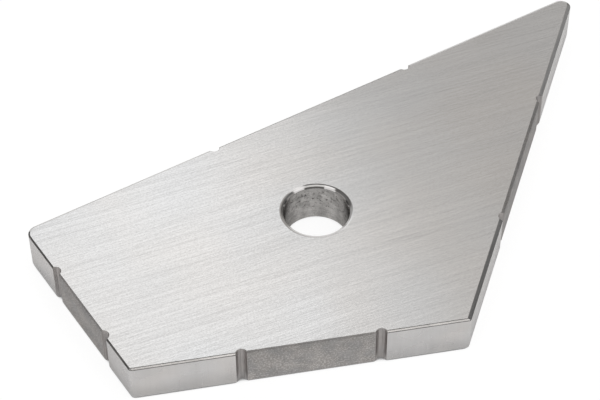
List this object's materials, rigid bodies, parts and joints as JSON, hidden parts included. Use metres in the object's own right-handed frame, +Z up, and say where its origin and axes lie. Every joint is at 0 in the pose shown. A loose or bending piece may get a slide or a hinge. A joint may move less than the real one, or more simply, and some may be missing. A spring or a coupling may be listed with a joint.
{
  "type": "fret rocker",
  "caption": "Flat four-edged steel plate for finding high frets, with ground lands, relief grooves and a hanging hole.",
  "frame": {"origin": "axis of the hole, on the underside that the plate lies on", "axes": "+Z up out of the countersunk face, +X along the longest edge from the heel corner to the tip"},
  "size_m": [0.0898, 0.0442, 0.006],
  "materials": {
    "ground_steel": "brushed faces, bright ground edge lands, matt as-cut recesses between them"
  },
  "bodies": {
    "root": {"fret_rocker_plate": "ground_steel"}
  },
  "joints": []
}
